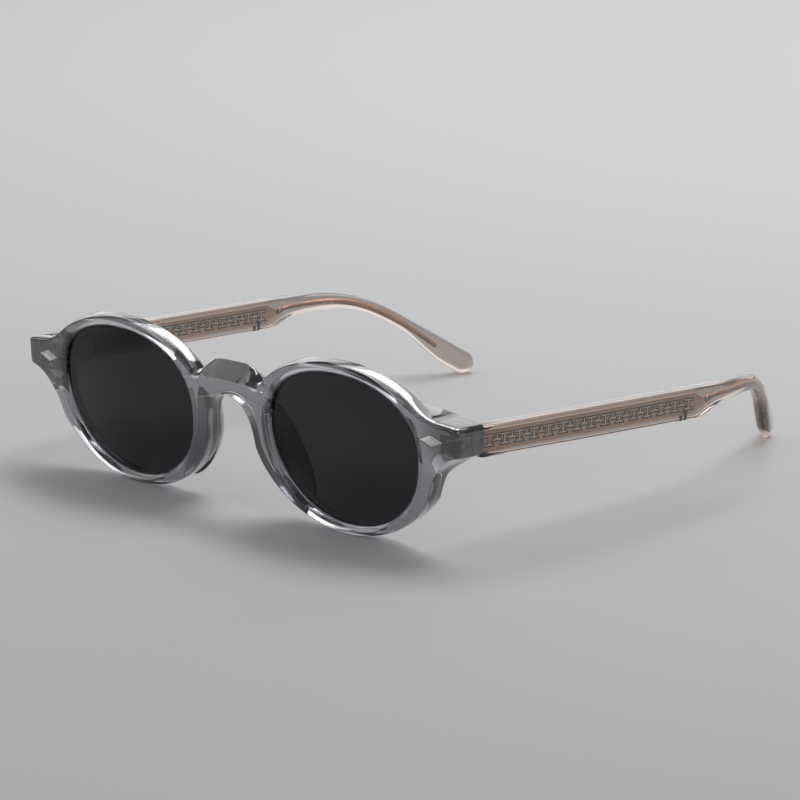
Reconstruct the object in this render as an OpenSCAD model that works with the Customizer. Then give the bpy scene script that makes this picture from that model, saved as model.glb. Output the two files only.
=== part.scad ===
// Round acetate sunglasses with folding temples.
// Clear front, smoked lenses, tea-coloured temples over a patterned metal core.
// Millimetres, +Z up, front facing -Y, temples running along +Y.

/* [Lens opening] */
// Width of each lens opening
lens_w = 43.6; // [38:0.2:48]
// Height of each lens opening
lens_h = 37.2; // [32:0.2:42]
// Gap between the two lens openings
lens_gap = 26.2; // [22:0.2:30]
// Roundness exponent of the opening, 2 is an ellipse
lens_power = 2.2; // [2:0.05:2.6]
// How much wider the opening is above its middle than below
lens_egg = 0.09; // [0:0.01:0.14]

/* [Lens] */
// Thickness of a lens
lens_t = 1.8; // [1.2:0.1:2.2]
// Radius of the front surface of a lens
lens_curve = 132; // [110:1:260]
// Depth of the lens crown behind the front face
lens_set = -0.2; // [-0.4:0.1:0.8]
// How far the lens edge reaches into its groove
lens_bite = 0.7; // [0.4:0.1:1]

/* [Rim] */
// Thickness of the rims, front to back
rim_t = 4.6; // [4.4:0.1:6]
// Width of the rim above the opening
rim_top = 2.4; // [1.8:0.1:4]
// Width of the rim below the opening
rim_bottom = 2.5; // [1.8:0.1:4]
// Width of the rim on the nose side
rim_nose = 6.4; // [5.6:0.1:8]
// Width of the rim on the temple side
rim_side = 5.3; // [4.2:0.1:7]
// Rounding of the upper front edge of the rims
rim_round = 1.0; // [0.4:0.1:1.4]
// Rounding of the lower front edge of the rims
under_round = 0.4; // [0.2:0.05:0.8]
// Rounding of the back edges
back_round = 0.6; // [0.4:0.1:1.1]
// Width of the bevel round each opening
bevel_w = 1.2; // [0.6:0.1:1.6]
// Depth of the bevel round each opening
bevel_d = 0.7; // [0.5:0.1:0.9]

/* [Bridge] */
// Top of the bridge above the bottom of the rims
bridge_top = 36.2; // [34:0.1:38]
// Height of the bridge at its middle, back edge to underside
bridge_h = 7.5; // [6:0.1:9]
// Height of the sloping bevel on the front of the bridge
bridge_bevel = 3.4; // [1:0.1:4]
// How flat that bevel is, from a full round to a plane
bridge_flat = 0.85; // [0:0.05:1]

/* [Endpieces] */
// Width of the front over its endpieces
front_w = 139.4; // [134:0.2:146]
// Height of an endpiece at its outer end
end_h = 7.4; // [6.8:0.1:8.4]
// Middle of an endpiece above the bottom of the rims
end_mid = 27.8; // [26.6:0.1:29]
// Depth of an endpiece from its front to the temple
end_d = 8.6; // [7.6:0.1:10]
// Radius of an endpiece's outer corners
end_r = 1.4; // [0.8:0.1:2]
// Height that the top of an endpiece gains towards the rim
end_rise = 2.6; // [1.6:0.1:4]
// Softness of the run of the rim's top into the endpiece
end_blend = 1.8; // [0.4:0.1:2.4]

/* [Stance] */
// Forward lean of the front
front_tilt = 9.4; // [5:0.2:12]
// How far the ends of the front sweep back
front_wrap = 2.9; // [1.5:0.1:5]
// Fall of the temples towards the back, degrees
temple_fall = 3.3; // [2:0.1:5]
// Outward splay of each temple, degrees
temple_splay = 1.9; // [0:0.1:3]

/* [Temples] */
// Height of a temple over the core plate
temple_h = 7.4; // [6.8:0.1:8.4]
// Thickness of a temple over the core plate
temple_t = 4.3; // [3.8:0.1:5]
// Length of the tall straight part of a temple
temple_straight = 71.5; // [64:0.5:76]
// Height of a temple at the ear bend
neck_h = 3.5; // [3.2:0.1:4.5]
// Thickness of a temple at the ear bend
neck_t = 3.6; // [3.2:0.1:4]
// Height of the paddle at a temple's tip
paddle_h = 6.0; // [5:0.1:7]
// Downward angle of the ear hook against the temple
hook_pitch = 29; // [26:0.5:38]
// Inward angle of the ear hook
hook_yaw = 30; // [14:0.5:34]
// Gap between an open temple and its endpiece
seam_gap = 0.1; // [0.05:0.01:0.2]

/* [Core] */
// Height of the patterned core plate
core_h = 4.8; // [4:0.1:5.4]
// Thickness of the core plate
core_t = 0.9; // [0.7:0.05:1.1]
// Length of the core plate to its point
core_len = 78; // [68:0.5:80]
// Diameter of the core wire in the ear hook
wire_d = 1.2; // [0.9:0.05:1.4]

/* [Nose pads] */
// How far a nose pad stands behind the rim
pad_depth = 5.0; // [3.5:0.1:6]
// Angle along the rim that a nose pad covers, degrees
pad_span = 70; // [60:1:84]

/* [Hinge] */
// Radius of a hinge knuckle
knuckle_r = 1.45; // [1.3:0.05:1.6]
// Height of one knuckle
knuckle_h = 0.95; // [0.85:0.01:1]
// Radius of the hinge screw
screw_r = 0.6; // [0.5:0.01:0.7]
// Thickness of the hinge leaves
leaf_t = 0.8; // [0.6:0.05:0.9]

/* [Rivets] */
// Width of a diamond rivet's head
diamond_w = 6.6; // [5:0.1:7.6]
// Height of a diamond rivet's head
diamond_h = 2.9; // [2:0.1:3.6]
// How far in from the middle of the endpiece, between lens and end, a rivet sits
diamond_in = 1.55; // [0.5:0.05:2.5]

/* [Hidden] */

// Clearances
fit_gap = 0.02;
run_gap = 0.03;
knuckle_gap = 0.08;
leaf_gap = 0.12;

// Counts of points along the curved outlines
rim_steps = 26;
bridge_steps = 7;
end_steps = 6;
corner_steps = 4;
opening_steps = 72;

// Lens opening and outer rim, as flattened ellipses
open_a = lens_w / 2;
open_b = lens_h / 2;
open_x = (lens_w + lens_gap) / 2;
open_z = open_b + rim_bottom;
rim_a = open_a + (rim_nose + rim_side) / 2;
rim_b = open_b + (rim_top + rim_bottom) / 2;
rim_x = open_x + (rim_side - rim_nose) / 2;
rim_z = open_z + (rim_top - rim_bottom) / 2;
rim_power = lens_power - 0.15;
rim_egg = lens_egg - 0.02;
front_e = front_w / 2;
end_top = end_mid + end_h / 2;
end_bottom = end_mid - end_h / 2;

function smooth(x, a, b) = let (t = min(1, max(0, (x - a) / (b - a)))) t * t * (3 - 2 * t);
function soft_max(p, q, k) = max(p, q) + k * ln(1 + exp(-abs(p - q) / k));
function signed_power(x, p) = sign(x) * pow(abs(x), p);
function reversed(list) = [for (i = [len(list) - 1:-1:0]) list[i]];
function bezier(p, q, r, t) = (1 - t) * (1 - t) * p + 2 * t * (1 - t) * q + t * t * r;

// Depth at which the front face lies at a distance u from the middle
wrap_power = 2.6;
wrap_span = 70;
function wrap(u) = front_wrap * pow(abs(u) / wrap_span, wrap_power);
function wrap_turn(u) = atan(front_wrap * wrap_power / wrap_span * pow(u / wrap_span, wrap_power - 1));
lens_turn = wrap_turn(open_x);

// A point on an egg-shaped flattened ellipse
function egg_point(a, b, power, egg, angle) =
    let (c = signed_power(cos(angle), 2 / power), s = signed_power(sin(angle), 2 / power))
    [a * c * (1 + egg * s), b * s];
function opening_outline(grow) = [for (i = [0:opening_steps - 1])
    egg_point(open_a + grow, open_b + grow, lens_power, lens_egg, 360 * i / opening_steps)];
function rim_point(angle) = [rim_x, rim_z] + egg_point(rim_a, rim_b, rim_power, rim_egg, angle);

// Upper outline: the bridge, the rim and the endpiece run into each other
valley_x = rim_x - 0.9 * rim_a;
shoulder_x = rim_x + 0.86 * rim_a;
function bridge_line(u) = bridge_top - 4 * pow(abs(u) / valley_x, 4);
function end_line(u) = end_top - 0.1 + end_rise * (1 - exp(-0.2 * (front_e - u) / end_rise));
upper_rim = [for (i = [0:rim_steps])
    let (angle = 152 - (152 - 36) * i / rim_steps) rim_point(angle)];
function upper_height(u, rim_height) = soft_max(soft_max(rim_height, bridge_line(u), 0.6), end_line(u)
    * (u > rim_x ? 1 : 0), end_blend);
upper_start = upper_rim[0][0];
upper_end = upper_rim[rim_steps][0];
corner_x = front_e - end_r;
// Height of the rim's own upper outline at u, found from the flattened ellipse
function rim_height(u) = let (s = min(1, abs(u - rim_x) / (rim_a * (1 + 0.6 * rim_egg))))
    rim_z + rim_b * pow(1 - pow(s, rim_power), 1 / rim_power);
upper_half = concat(
    [for (i = [0:bridge_steps - 1]) let (u = upper_start * i / bridge_steps)
        [u, upper_height(u, rim_height(u))]],
    [for (p = upper_rim) [p[0], upper_height(p[0], p[1])]],
    [for (i = [1:end_steps]) let (u = upper_end + (corner_x - upper_end) * i / end_steps)
        [u, upper_height(u, rim_height(u))]],
    [for (i = [1:corner_steps]) let (a = 90 * i / corner_steps)
        [corner_x + end_r * sin(a), end_line(corner_x) - end_r * (1 - cos(a))]]);

// Lower outline: the nose arch, the rim from nose to side, and the underside of the endpiece
arch_start = [0, bridge_top - bridge_h];
arch_end = rim_point(190);
arch_pull = [0.92 * arch_end[0], arch_start[1]];
under_start = rim_point(-22);
under_end = [corner_x, end_bottom];
under_pull = [under_start[0] + 0.36 * (under_end[0] - under_start[0]), end_bottom - 1.2];
lower_half = concat(
    [for (i = [0:bridge_steps - 1]) bezier(arch_start, arch_pull, arch_end, i / bridge_steps)],
    [for (i = [0:rim_steps]) let (angle = 190 + (338 - 190) * i / rim_steps) rim_point(angle)],
    [for (i = [1:end_steps]) bezier(under_start, under_pull, under_end, i / end_steps)],
    [for (i = [1:corner_steps]) let (a = 90 * i / corner_steps)
        [corner_x + end_r * sin(a), end_bottom + end_r * (1 - cos(a))]]);

half_count = len(upper_half);
chain_count = 2 * half_count - 1;
function mirrored(p) = [-p[0], p[1]];
function whole_chain(half) = concat([for (p = reversed(half)) mirrored(p)],
    [for (i = [1:half_count - 1]) half[i]]);
outline = concat(whole_chain(upper_half), reversed(whole_chain(lower_half)));
outline_count = len(outline);
function outline_normal(i) =
    let (t = outline[(i + 1) % outline_count] - outline[(i + outline_count - 1) % outline_count])
    [-t[1], t[0]] / norm(t);

// Roundings of the front's edges, and the depth of its back
function is_upper(i) = i < chain_count;
function end_share(u) = smooth(abs(u), rim_x + 0.8 * rim_a, front_e - 6);
function bridge_share(u) = 1 - smooth(abs(u), 0.6 * valley_x, 1.05 * valley_x);
function front_inset(i) = let (u = outline[i][0])
    is_upper(i) ? rim_round + (bridge_bevel - rim_round) * bridge_share(u) + 0.2 * end_share(u)
        : under_round;
function round_depth(i) = let (u = outline[i][0])
    is_upper(i) ? 2.6 + 1.2 * bridge_share(u) : 1.6;
function back_depth(p) = rim_t + (end_d + 2 - rim_t) * smooth(abs(p[0]), front_e - 13.5, front_e - 8.5)
    * smooth(p[1], end_bottom - 5, end_bottom + 0.5);
// The endpieces run back along the temples, so they fall against the tilted front
function fall(u) = tan(front_tilt + temple_fall) * smooth(abs(u), front_e - 15, front_e - 8);

function skin_point(i, inset, depth) =
    let (p = outline[i] - inset * outline_normal(i))
    [p[0], depth + wrap(p[0]), p[1] - depth * fall(p[0])];
front_profile = [[1, 0], [0.62, 0.12], [0.3, 0.35], [0.08, 0.68], [0, 1]];
back_profile = [[0, 1], [0.3, 0.3], [1, 0]];
// A step of the front's profile, moved towards a straight bevel across the bridge
function flattened(i, step) =
    let (along = (step[1] - step[0] + 1) / 2)
    let (share = is_upper(i) ? bridge_flat * bridge_share(outline[i][0]) : 0)
    [step[0] + (1 - along - step[0]) * share, step[1] + (along - step[1]) * share];
function front_loop(step) = [for (i = [0:outline_count - 1])
    let (part = flattened(i, step))
    skin_point(i, front_inset(i) * part[0], round_depth(i) * part[1])];
function back_loop(step) = [for (i = [0:outline_count - 1])
    skin_point(i, back_round * step[0], back_depth(outline[i]) - back_round * step[1])];
skin_loops = concat([for (step = front_profile) front_loop(step)],
    [for (step = back_profile) back_loop(step)]);
loop_count = len(skin_loops);

// The front leans about the line through the bottom of its rims
function leaned(p) = [p[0], p[1] * cos(front_tilt) - p[2] * sin(front_tilt),
    p[1] * sin(front_tilt) + p[2] * cos(front_tilt)];
leaned_points = [for (ring = skin_loops) for (p = ring) leaned(p)];
front_low = min([for (p = leaned_points) p[2]]);
front_near = min([for (p = leaned_points) p[1]]);

// Seam between the front and the temples
seam_y = (end_d + wrap(front_e)) * cos(front_tilt) - end_mid * sin(front_tilt);
seam_drop = end_d * tan(front_tilt + temple_fall);
hinge_z = (end_mid - seam_drop) * cos(front_tilt) + end_d * sin(front_tilt) - front_low;
temple_in_x = front_e - temple_t;
knuckle_off = 0.3;
hinge_x = temple_in_x - knuckle_r - knuckle_off;
hinge_y = knuckle_r + leaf_gap;
hinge_drop = 0.4;

// Temple path, in the frame of the seam: +Y runs back along the temple
pitch_from = temple_straight + 17;
yaw_from = temple_straight - 1;
bend_to = temple_straight + 47;
path_step = 2;
function path_pitch(s) = hook_pitch * smooth(s, pitch_from, bend_to);
function path_yaw(s) = -temple_splay + (hook_yaw + temple_splay) * smooth(s, yaw_from, bend_to);
function path_way(s) = let (p = path_pitch(s), w = path_yaw(s))
    [-sin(w) * cos(p), cos(w) * cos(p), -sin(p)];
path_start = [front_e - temple_t / 2, seam_gap, 0];
bend_steps = ceil(bend_to / path_step);
path_nodes = [for (i = 0, p = path_start; i <= bend_steps; i = i + 1,
    p = p + path_step * path_way((i - 0.5) * path_step)) p];
bend_len = bend_steps * path_step;
bend_end = path_nodes[bend_steps];
hook_way = path_way(bend_len);
function seam_to_world(p) = [p[0],
    seam_y + p[1] * cos(temple_fall) + p[2] * sin(temple_fall),
    hinge_z - p[1] * sin(temple_fall) + p[2] * cos(temple_fall)];
function path_point(s) = s > bend_len ? bend_end + (s - bend_len) * hook_way
    : let (i = min(bend_steps - 1, floor(s / path_step)), t = s / path_step - i)
        path_nodes[i] * (1 - t) + path_nodes[i + 1] * t;

// The hook runs on straight until its round paddle meets the surface that the glasses stand on
hook_down = hook_way[1] * sin(temple_fall) - hook_way[2] * cos(temple_fall);
tip_r = paddle_h / 2;
tip_lift = (temple_h - paddle_h) / 2 * sqrt(1 - hook_down * hook_down);
tail_len = (seam_to_world(bend_end)[2] + tip_lift - tip_r * (1 - hook_down)) / hook_down;
temple_len = bend_len + tail_len;

// Height and thickness of a temple along its path
step_from = temple_straight + 3;
step_h = 5;
seam_step = 0.2;
function body_h(s) = temple_h - seam_step * (1 - smooth(s, 0, 40))
    - (temple_h - step_h) * smooth(s, step_from, step_from + 9)
    - (step_h - neck_h) * smooth(s, step_from + 6, step_from + 36)
    + (paddle_h - neck_h) * smooth(s, temple_len - 24, temple_len - 7);
function body_t(s) = temple_t - (temple_t - neck_t) * smooth(s, step_from, step_from + 22);
edge_r = 0.5;
neck_r = 1.6;
function body_r(s) = edge_r + (neck_r - edge_r) * smooth(s, step_from + 4, step_from + 16);
function tip_share(s) = let (t = max(0, (s - (temple_len - tip_r)) / tip_r)) sqrt(max(0.0001, 1 - t * t));
function side_way(s) = [cos(path_yaw(s)), sin(path_yaw(s)), 0];
function up_way(s) = cross(side_way(s), path_way(s));
corner_angles = [8, 34, 56, 82];
function ring_offset(t, h, r, k) =
    let (q = floor(k / 4), a = corner_angles[k % 4] + 90 * q,
        cx = (q == 0 || q == 3 ? 1 : -1) * (t / 2 - r), cz = (q < 2 ? 1 : -1) * (h / 2 - r))
    [cx + r * cos(a), cz + r * sin(a)];
// The top of a temple runs smoothly, and its underside steps up behind the core plate
function body_ring(s) =
    let (share = tip_share(s), h = body_h(s) * share, t = body_t(s) * (0.35 + 0.65 * share),
        r = min(body_r(s), 0.45 * h, 0.45 * t), mid = path_point(s) + up_way(s) * (temple_h - body_h(s)) / 2)
    [for (k = [0:15]) let (o = ring_offset(t, h, r, k)) mid + side_way(s) * o[0] + up_way(s) * o[1]];
body_stations = concat([0, 30, 60, step_from],
    [for (i = [1:30]) step_from + (temple_len - tip_r - step_from) * i / 30],
    [for (a = [25, 45, 62, 76, 86]) temple_len - tip_r * (1 - sin(a))]);
temple_rings = [for (s = body_stations) body_ring(s)];
tip_back = max([for (ring = temple_rings) for (p = ring) seam_to_world(p)[1]]);

// The row's origin: middle of the box, on the surface that the glasses stand on
mid_y = (front_near + tip_back) / 2;

// Closed solid through rings of points that run anticlockwise seen from the first ring
module loft(rings) {
    n = len(rings[0]);
    m = len(rings);
    first = [for (k = [0:2]) [for (p = rings[0]) p[k]] * [for (p = rings[0]) 1] / n];
    last = [for (k = [0:2]) [for (p = rings[m - 1]) p[k]] * [for (p = rings[0]) 1] / n];
    points = concat([for (ring = rings) for (p = ring) p], [first, last]);
    sides = [for (j = [0:m - 2]) for (i = [0:n - 1])
        let (a = j * n + i, b = j * n + (i + 1) % n, c = a + n, d = b + n) each [[a, b, c], [b, d, c]]];
    caps = [for (i = [0:n - 1]) each [[m * n, (i + 1) % n, i],
        [m * n + 1, (m - 1) * n + i, (m - 1) * n + (i + 1) % n]]];
    polyhedron(points, concat(sides, caps), convexity = 8);
}

// Skin of the front, closed by strips between its upper and lower outlines
module front_skin() {
    n = outline_count;
    points = [for (ring = skin_loops) for (p = ring) p];
    walls = [for (j = [0:loop_count - 2]) for (i = [0:n - 1])
        let (a = j * n + i, b = j * n + (i + 1) % n, c = a + n, d = b + n) each [[a, c, b], [b, c, d]]];
    back = (loop_count - 1) * n;
    caps = [for (i = [0:chain_count - 2])
        let (a = i, b = i + 1, c = n - 1 - i, d = n - 2 - i)
        each [[a, b, c], [b, d, c], [back + a, back + c, back + b], [back + b, back + c, back + d]]];
    polyhedron(points, concat(walls, caps), convexity = 10);
}

module lean() {
    translate([0, -mid_y, -front_low]) rotate([front_tilt, 0, 0]) children();
}
module at_lens() {
    translate([open_x, wrap(open_x), open_z]) rotate([0, 0, lens_turn]) children();
}
// Frame of the seam: origin on the temple's middle line, +Y back along the temple
module at_seam() {
    translate([0, seam_y - mid_y, hinge_z]) rotate([-temple_fall, 0, 0]) children();
}
module at_hinge() {
    at_seam() translate([0, 0, -hinge_drop]) children();
}
module on_side(left) {
    mirror([left ? 0 : 1, 0, 0]) children();
}

module opening_prism(grow, from, to) {
    translate([0, to, 0]) rotate([90, 0, 0]) linear_extrude(to - from) polygon(opening_outline(grow));
}
module lens_shell(grow, gap) {
    intersection() {
        opening_prism(grow, -2, 12);
        translate([0, lens_set + lens_curve, 0]) difference() {
            sphere(lens_curve + gap, $fn = 180);
            sphere(lens_curve - lens_t - gap, $fn = 180);
        }
    }
}
// Funnel that cuts the bevel round an opening, following the front face
module opening_bevel() {
    function face(x) = wrap(open_x + x) - wrap(open_x) - tan(lens_turn) * x;
    function bevel_ring(grow, depth) = [for (p = opening_outline(grow))
        [p[0], face(p[0]) + depth, p[1]]];
    loft([bevel_ring(2 * bevel_w, -bevel_d), bevel_ring(0, bevel_d), bevel_ring(-0.4, bevel_d + 0.3)]);
}

// Diamond rivet: a faceted head in a shallow recess, on a round shank
diamond_x = (open_x + open_a + lens_bite + front_e) / 2 - diamond_in;
diamond_rise = 0.45;
diamond_sink = 0.3;
diamond_turn = wrap_turn(diamond_x);
shank_r = 0.6;
shank_len = 2.6;
module at_diamond() {
    translate([diamond_x, wrap(diamond_x), end_mid]) rotate([0, 0, diamond_turn]) children();
}
function diamond_ring(grow, depth) = [for (a = [0:3])
    [(diamond_w / 2 + 2 * grow) * cos(90 * a), depth, (diamond_h / 2 + grow) * sin(90 * a)]];

// Hinge: three knuckles on the front leaf, two on the temple leaf, one screw
knuckle_pitch = knuckle_h + knuckle_gap;
barrel_h = 5 * knuckle_h + 4 * knuckle_gap;
leaf_h = barrel_h - 0.4;
head_r = 0.7 * knuckle_r;
head_t = 0.45;
slot_w = 0.3;
slot_d = 0.18;
peg_r = 0.65;
peg_len = 3.4;
peg_levels = [-1.6, 0.8];
plate_in = 3.4;
plate_out = 1.5;
foot_in = 1.1;
foot_out = 1.1;
temple_leaf_len = 9;
temple_leaf_from = 0.5;
temple_peg_len = 0.6;
temple_foot_from = -0.7;
temple_foot_w = 1.4;
temple_peg_at = [3, 7];
// Overlap of joined shapes inside one piece
join = 0.1;
module knuckle(level, foot) {
    z = -barrel_h / 2 + level * knuckle_pitch;
    translate([hinge_x, hinge_y, z]) cylinder(r = knuckle_r, h = knuckle_h, $fn = 48);
    translate([hinge_x, hinge_y, z]) translate(foot[0]) cube([foot[1][0], foot[1][1], knuckle_h]);
}
module screw_hole(r) {
    translate([hinge_x, hinge_y, -barrel_h / 2 - 1]) cylinder(r = r, h = barrel_h + 2, $fn = 48);
}
module front_leaf_plate(gap) {
    translate([hinge_x - plate_in - gap, -leaf_t - gap, -leaf_h / 2 - gap])
        cube([plate_in + plate_out + 2 * gap, leaf_t + gap, leaf_h + 2 * gap]);
    for (level = peg_levels)
        translate([hinge_x, -leaf_t + join, level]) rotate([90, 0, 0])
            cylinder(r = peg_r + gap, h = peg_len + gap, $fn = 32);
}
module temple_leaf_plate(gap) {
    translate([temple_in_x - gap, seam_gap + temple_leaf_from - gap, -leaf_h / 2 - gap])
        cube([leaf_t + 2 * gap, temple_leaf_len + 2 * gap, leaf_h + 2 * gap]);
    for (y = temple_peg_at)
        translate([temple_in_x + leaf_t - join, y, 0]) rotate([0, 90, 0])
            cylinder(r = peg_r + gap, h = temple_peg_len + join + gap, $fn = 32);
}

module front_frame() {
    color([0.62, 0.63, 0.66, 0.6]) lean() difference() {
        front_skin();
        for (left = [true, false]) on_side(left) {
            at_lens() {
                opening_prism(0, -5, 14);
                lens_shell(lens_bite, fit_gap);
                opening_bevel();
            }
            at_diamond() {
                loft([diamond_ring(fit_gap, -1), diamond_ring(fit_gap, diamond_sink)]);
                rotate([-90, 0, 0]) cylinder(r = shank_r + fit_gap, h = shank_len + 0.1, $fn = 32);
            }
            translate([0, 0, front_low]) rotate([-front_tilt, 0, 0]) translate([0, seam_y, hinge_z])
                rotate([-temple_fall, 0, 0]) {
                    translate([front_e - 16, 0, -12]) cube([24, 12, 24]);
                    translate([0, 0, -hinge_drop]) front_leaf_plate(fit_gap);
                }
        }
    }
}
module lens(left) {
    color([0.1, 0.1, 0.12, 0.9]) lean() on_side(left) at_lens() lens_shell(lens_bite - 2 * fit_gap, 0);
}

// Nose pad: a rounded half moon bonded behind the nose side of a rim
pad_steps = 18;
pad_mid = 197;
pad_section = [[4.9, 0], [5.0, 0.18], [4.6, 0.42], [3.6, 0.72], [2.2, 0.94], [0.6, 1], [-0.9, 0.9],
    [-2.0, 0.7], [-2.1, 0.45], [-1.0, 0.18], [0.7, 0]];
pad_axis = 2.8;
function pad_ring(i) =
    let (t = -1 + 2 * i / pad_steps, angle = pad_mid + t * pad_span / 2,
        size = max(0.12, pow(max(0, 1 - t * t), 0.55)),
        p = egg_point(open_a, open_b, lens_power, lens_egg, angle),
        q = egg_point(open_a + 1, open_b + 1, lens_power, lens_egg, angle), way = (q - p) / norm(q - p))
    [for (c = pad_section) let (r = pad_axis + (c[0] - pad_axis) * size, o = p + way * r, u = open_x + o[0])
        [u, rim_t + fit_gap + wrap(u) + pad_depth * size * c[1], open_z + o[1]]];
module nose_pad(left) {
    color([0.45, 0.45, 0.47, 0.8]) lean() on_side(left) loft([for (i = [pad_steps:-1:0]) pad_ring(i)]);
}
module diamond_rivet(left) {
    color("silver") lean() on_side(left) at_diamond() {
        loft([diamond_ring(-0.25 * diamond_h, -diamond_rise), diamond_ring(0, 0),
            diamond_ring(0, diamond_sink)]);
        rotate([-90, 0, 0]) translate([0, 0, diamond_sink / 2])
            cylinder(r = shank_r, h = shank_len - diamond_sink / 2, $fn = 32);
    }
}
module front_hinge_leaf(left) {
    color("goldenrod") on_side(left) at_hinge() difference() {
        union() {
            front_leaf_plate(0);
            for (level = [0, 2, 4])
                knuckle(level, [[-foot_in, -hinge_y - join, 0], [foot_in + foot_out, hinge_y + join]]);
        }
        screw_hole(screw_r + fit_gap);
        translate([hinge_x, hinge_y, barrel_h / 2 - head_t]) cylinder(r = head_r + fit_gap, h = 2, $fn = 48);
    }
}
module temple_hinge_leaf(left) {
    color("goldenrod") on_side(left) at_hinge() difference() {
        union() {
            temple_leaf_plate(0);
            for (level = [1, 3])
                knuckle(level, [[0, temple_foot_from, 0],
                    [temple_in_x - hinge_x + 2 * join, temple_foot_w]]);
        }
        screw_hole(screw_r + run_gap);
    }
}
module hinge_screw(left) {
    color("gold") on_side(left) at_hinge() translate([hinge_x, hinge_y, 0]) difference() {
        union() {
            translate([0, 0, -barrel_h / 2]) cylinder(r = screw_r, h = barrel_h - head_t / 2, $fn = 48);
            translate([0, 0, barrel_h / 2 - head_t + fit_gap])
                cylinder(r = head_r, h = head_t - 2 * fit_gap, $fn = 48);
        }
        translate([-2 * head_r, -slot_w / 2, barrel_h / 2 - fit_gap - slot_d])
            cube([4 * head_r, slot_w, 1]);
    }
}

// Core: a pointed plate in the straight of the temple and a wire through its hook
core_start = 1.2;
core_point = 4.5;
core_tip = 0.4;
wire_end = temple_len - 12;
core_edge = [[core_start, core_h / 2], [core_len - core_point, core_h / 2],
    [core_len - core_tip, wire_d / 2], [core_len, wire_d / 2]];
function core_profile(gap) = concat([for (p = core_edge) [p[0], p[1] + gap]],
    [for (p = reversed(core_edge)) [p[0], -p[1] - gap]]);
module along_core() {
    translate(path_start) rotate([0, 0, -temple_splay]) children();
}
module core_solid(gap, lead) {
    along_core() translate([core_t / 2 + gap, 0, 0]) rotate([0, -90, 0]) linear_extrude(core_t + 2 * gap)
        polygon([for (p = core_profile(gap)) [p[1], p[0] == core_start ? core_start - lead : p[0]]]);
}
wire_sides = 10;
wire_steps = 32;
function wire_ring(s, r) = let (lift = (temple_h - body_h(s)) / 2)
    [for (k = [0:wire_sides - 1]) let (a = 360 * k / wire_sides)
        path_point(s) + up_way(s) * (lift + r * sin(a)) + side_way(s) * r * cos(a)];
module wire_solid(r, lead, tail) {
    from = core_len + fit_gap - lead;
    to = wire_end + tail;
    loft([for (i = [0:wire_steps]) wire_ring(from + (to - from) * i / wire_steps, r)]);
}
// Narrow slits beside the plate near its end, open at the underside of the temple
slit_w = 0.35;
slit_wall = 0.35;
slit_at = temple_straight - 1.5;
slit_top = -1.1;
module temple(left) {
    color([0.42, 0.35, 0.32, 0.7]) on_side(left) at_seam() difference() {
        loft(temple_rings);
        core_solid(fit_gap, 3);
        wire_solid(wire_d / 2 + fit_gap, 0.3, fit_gap);
        translate([0, 0, -hinge_drop]) temple_leaf_plate(fit_gap);
        along_core() for (side = [0, 1]) mirror([side, 0, 0])
            translate([core_t / 2 + slit_wall, slit_at, -temple_h])
                cube([temple_t, slit_w, temple_h + slit_top]);
    }
}
module core_plate(left) {
    color([0.72, 0.55, 0.45]) on_side(left) at_seam() core_solid(0, 0);
}
module core_wire(left) {
    color([0.7, 0.5, 0.38]) on_side(left) at_seam() wire_solid(wire_d / 2, 0, 0);
}

front_frame();
lens(true);  // lens_left
lens(false);  // lens_right
nose_pad(true);  // nose_pad_left
nose_pad(false);  // nose_pad_right
diamond_rivet(true);  // diamond_rivet_left
diamond_rivet(false);  // diamond_rivet_right
front_hinge_leaf(true);  // front_hinge_leaf_left
front_hinge_leaf(false);  // front_hinge_leaf_right
hinge_screw(true);  // hinge_screw_left
hinge_screw(false);  // hinge_screw_right
temple(true);  // temple_left
temple(false);  // temple_right
temple_hinge_leaf(true);  // temple_hinge_leaf_left
temple_hinge_leaf(false);  // temple_hinge_leaf_right
core_plate(true);  // core_plate_left
core_plate(false);  // core_plate_right
core_wire(true);  // core_wire_left
core_wire(false);  // core_wire_right
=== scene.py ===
"""Looks of a pair of round clear acetate sunglasses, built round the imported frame."""

import math

import bmesh
import bpy
from mathutils import Matrix, Quaternion, Vector


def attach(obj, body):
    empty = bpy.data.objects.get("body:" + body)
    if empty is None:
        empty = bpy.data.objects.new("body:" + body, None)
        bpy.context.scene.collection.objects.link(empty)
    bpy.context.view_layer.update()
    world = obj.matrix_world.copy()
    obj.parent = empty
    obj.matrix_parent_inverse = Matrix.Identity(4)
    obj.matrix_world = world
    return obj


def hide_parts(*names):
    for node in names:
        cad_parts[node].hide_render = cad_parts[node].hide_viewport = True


bl_info = {
    "name": "Round acetate sunglasses",
    "version": (1, 0, 0),
    "blender": (4, 5, 0),
    "location": "View3D > Sidebar > Sunglasses",
    "description": "Dresses the sunglasses with clear acetate, dark lenses and patterned cores",
    "category": "Object",
}

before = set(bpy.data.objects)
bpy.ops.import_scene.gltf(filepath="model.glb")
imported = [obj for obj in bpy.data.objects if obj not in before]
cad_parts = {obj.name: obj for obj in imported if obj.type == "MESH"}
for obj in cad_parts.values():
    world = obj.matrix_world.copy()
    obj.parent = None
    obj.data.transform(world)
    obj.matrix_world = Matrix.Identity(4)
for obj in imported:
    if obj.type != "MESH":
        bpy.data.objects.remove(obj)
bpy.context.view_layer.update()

MM = 0.001
SIDES = ("left", "right")
BODY = {"left": "temple_left_body", "right": "temple_right_body"}

# Sizes of the solids in millimetres and degrees, as the part's source has them
# The lens openings: width, height, gap across the nose, roundness and egg shape
LENS_W, LENS_H, LENS_GAP, LENS_POWER, LENS_EGG = 43.6, 37.2, 26.2, 2.2, 0.09
# A lens: thickness, radius of its face, depth behind the front face, and bite in its groove
LENS_T, LENS_CURVE, LENS_SET, LENS_BITE = 1.8, 132.0, -0.2, 0.7
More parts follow.
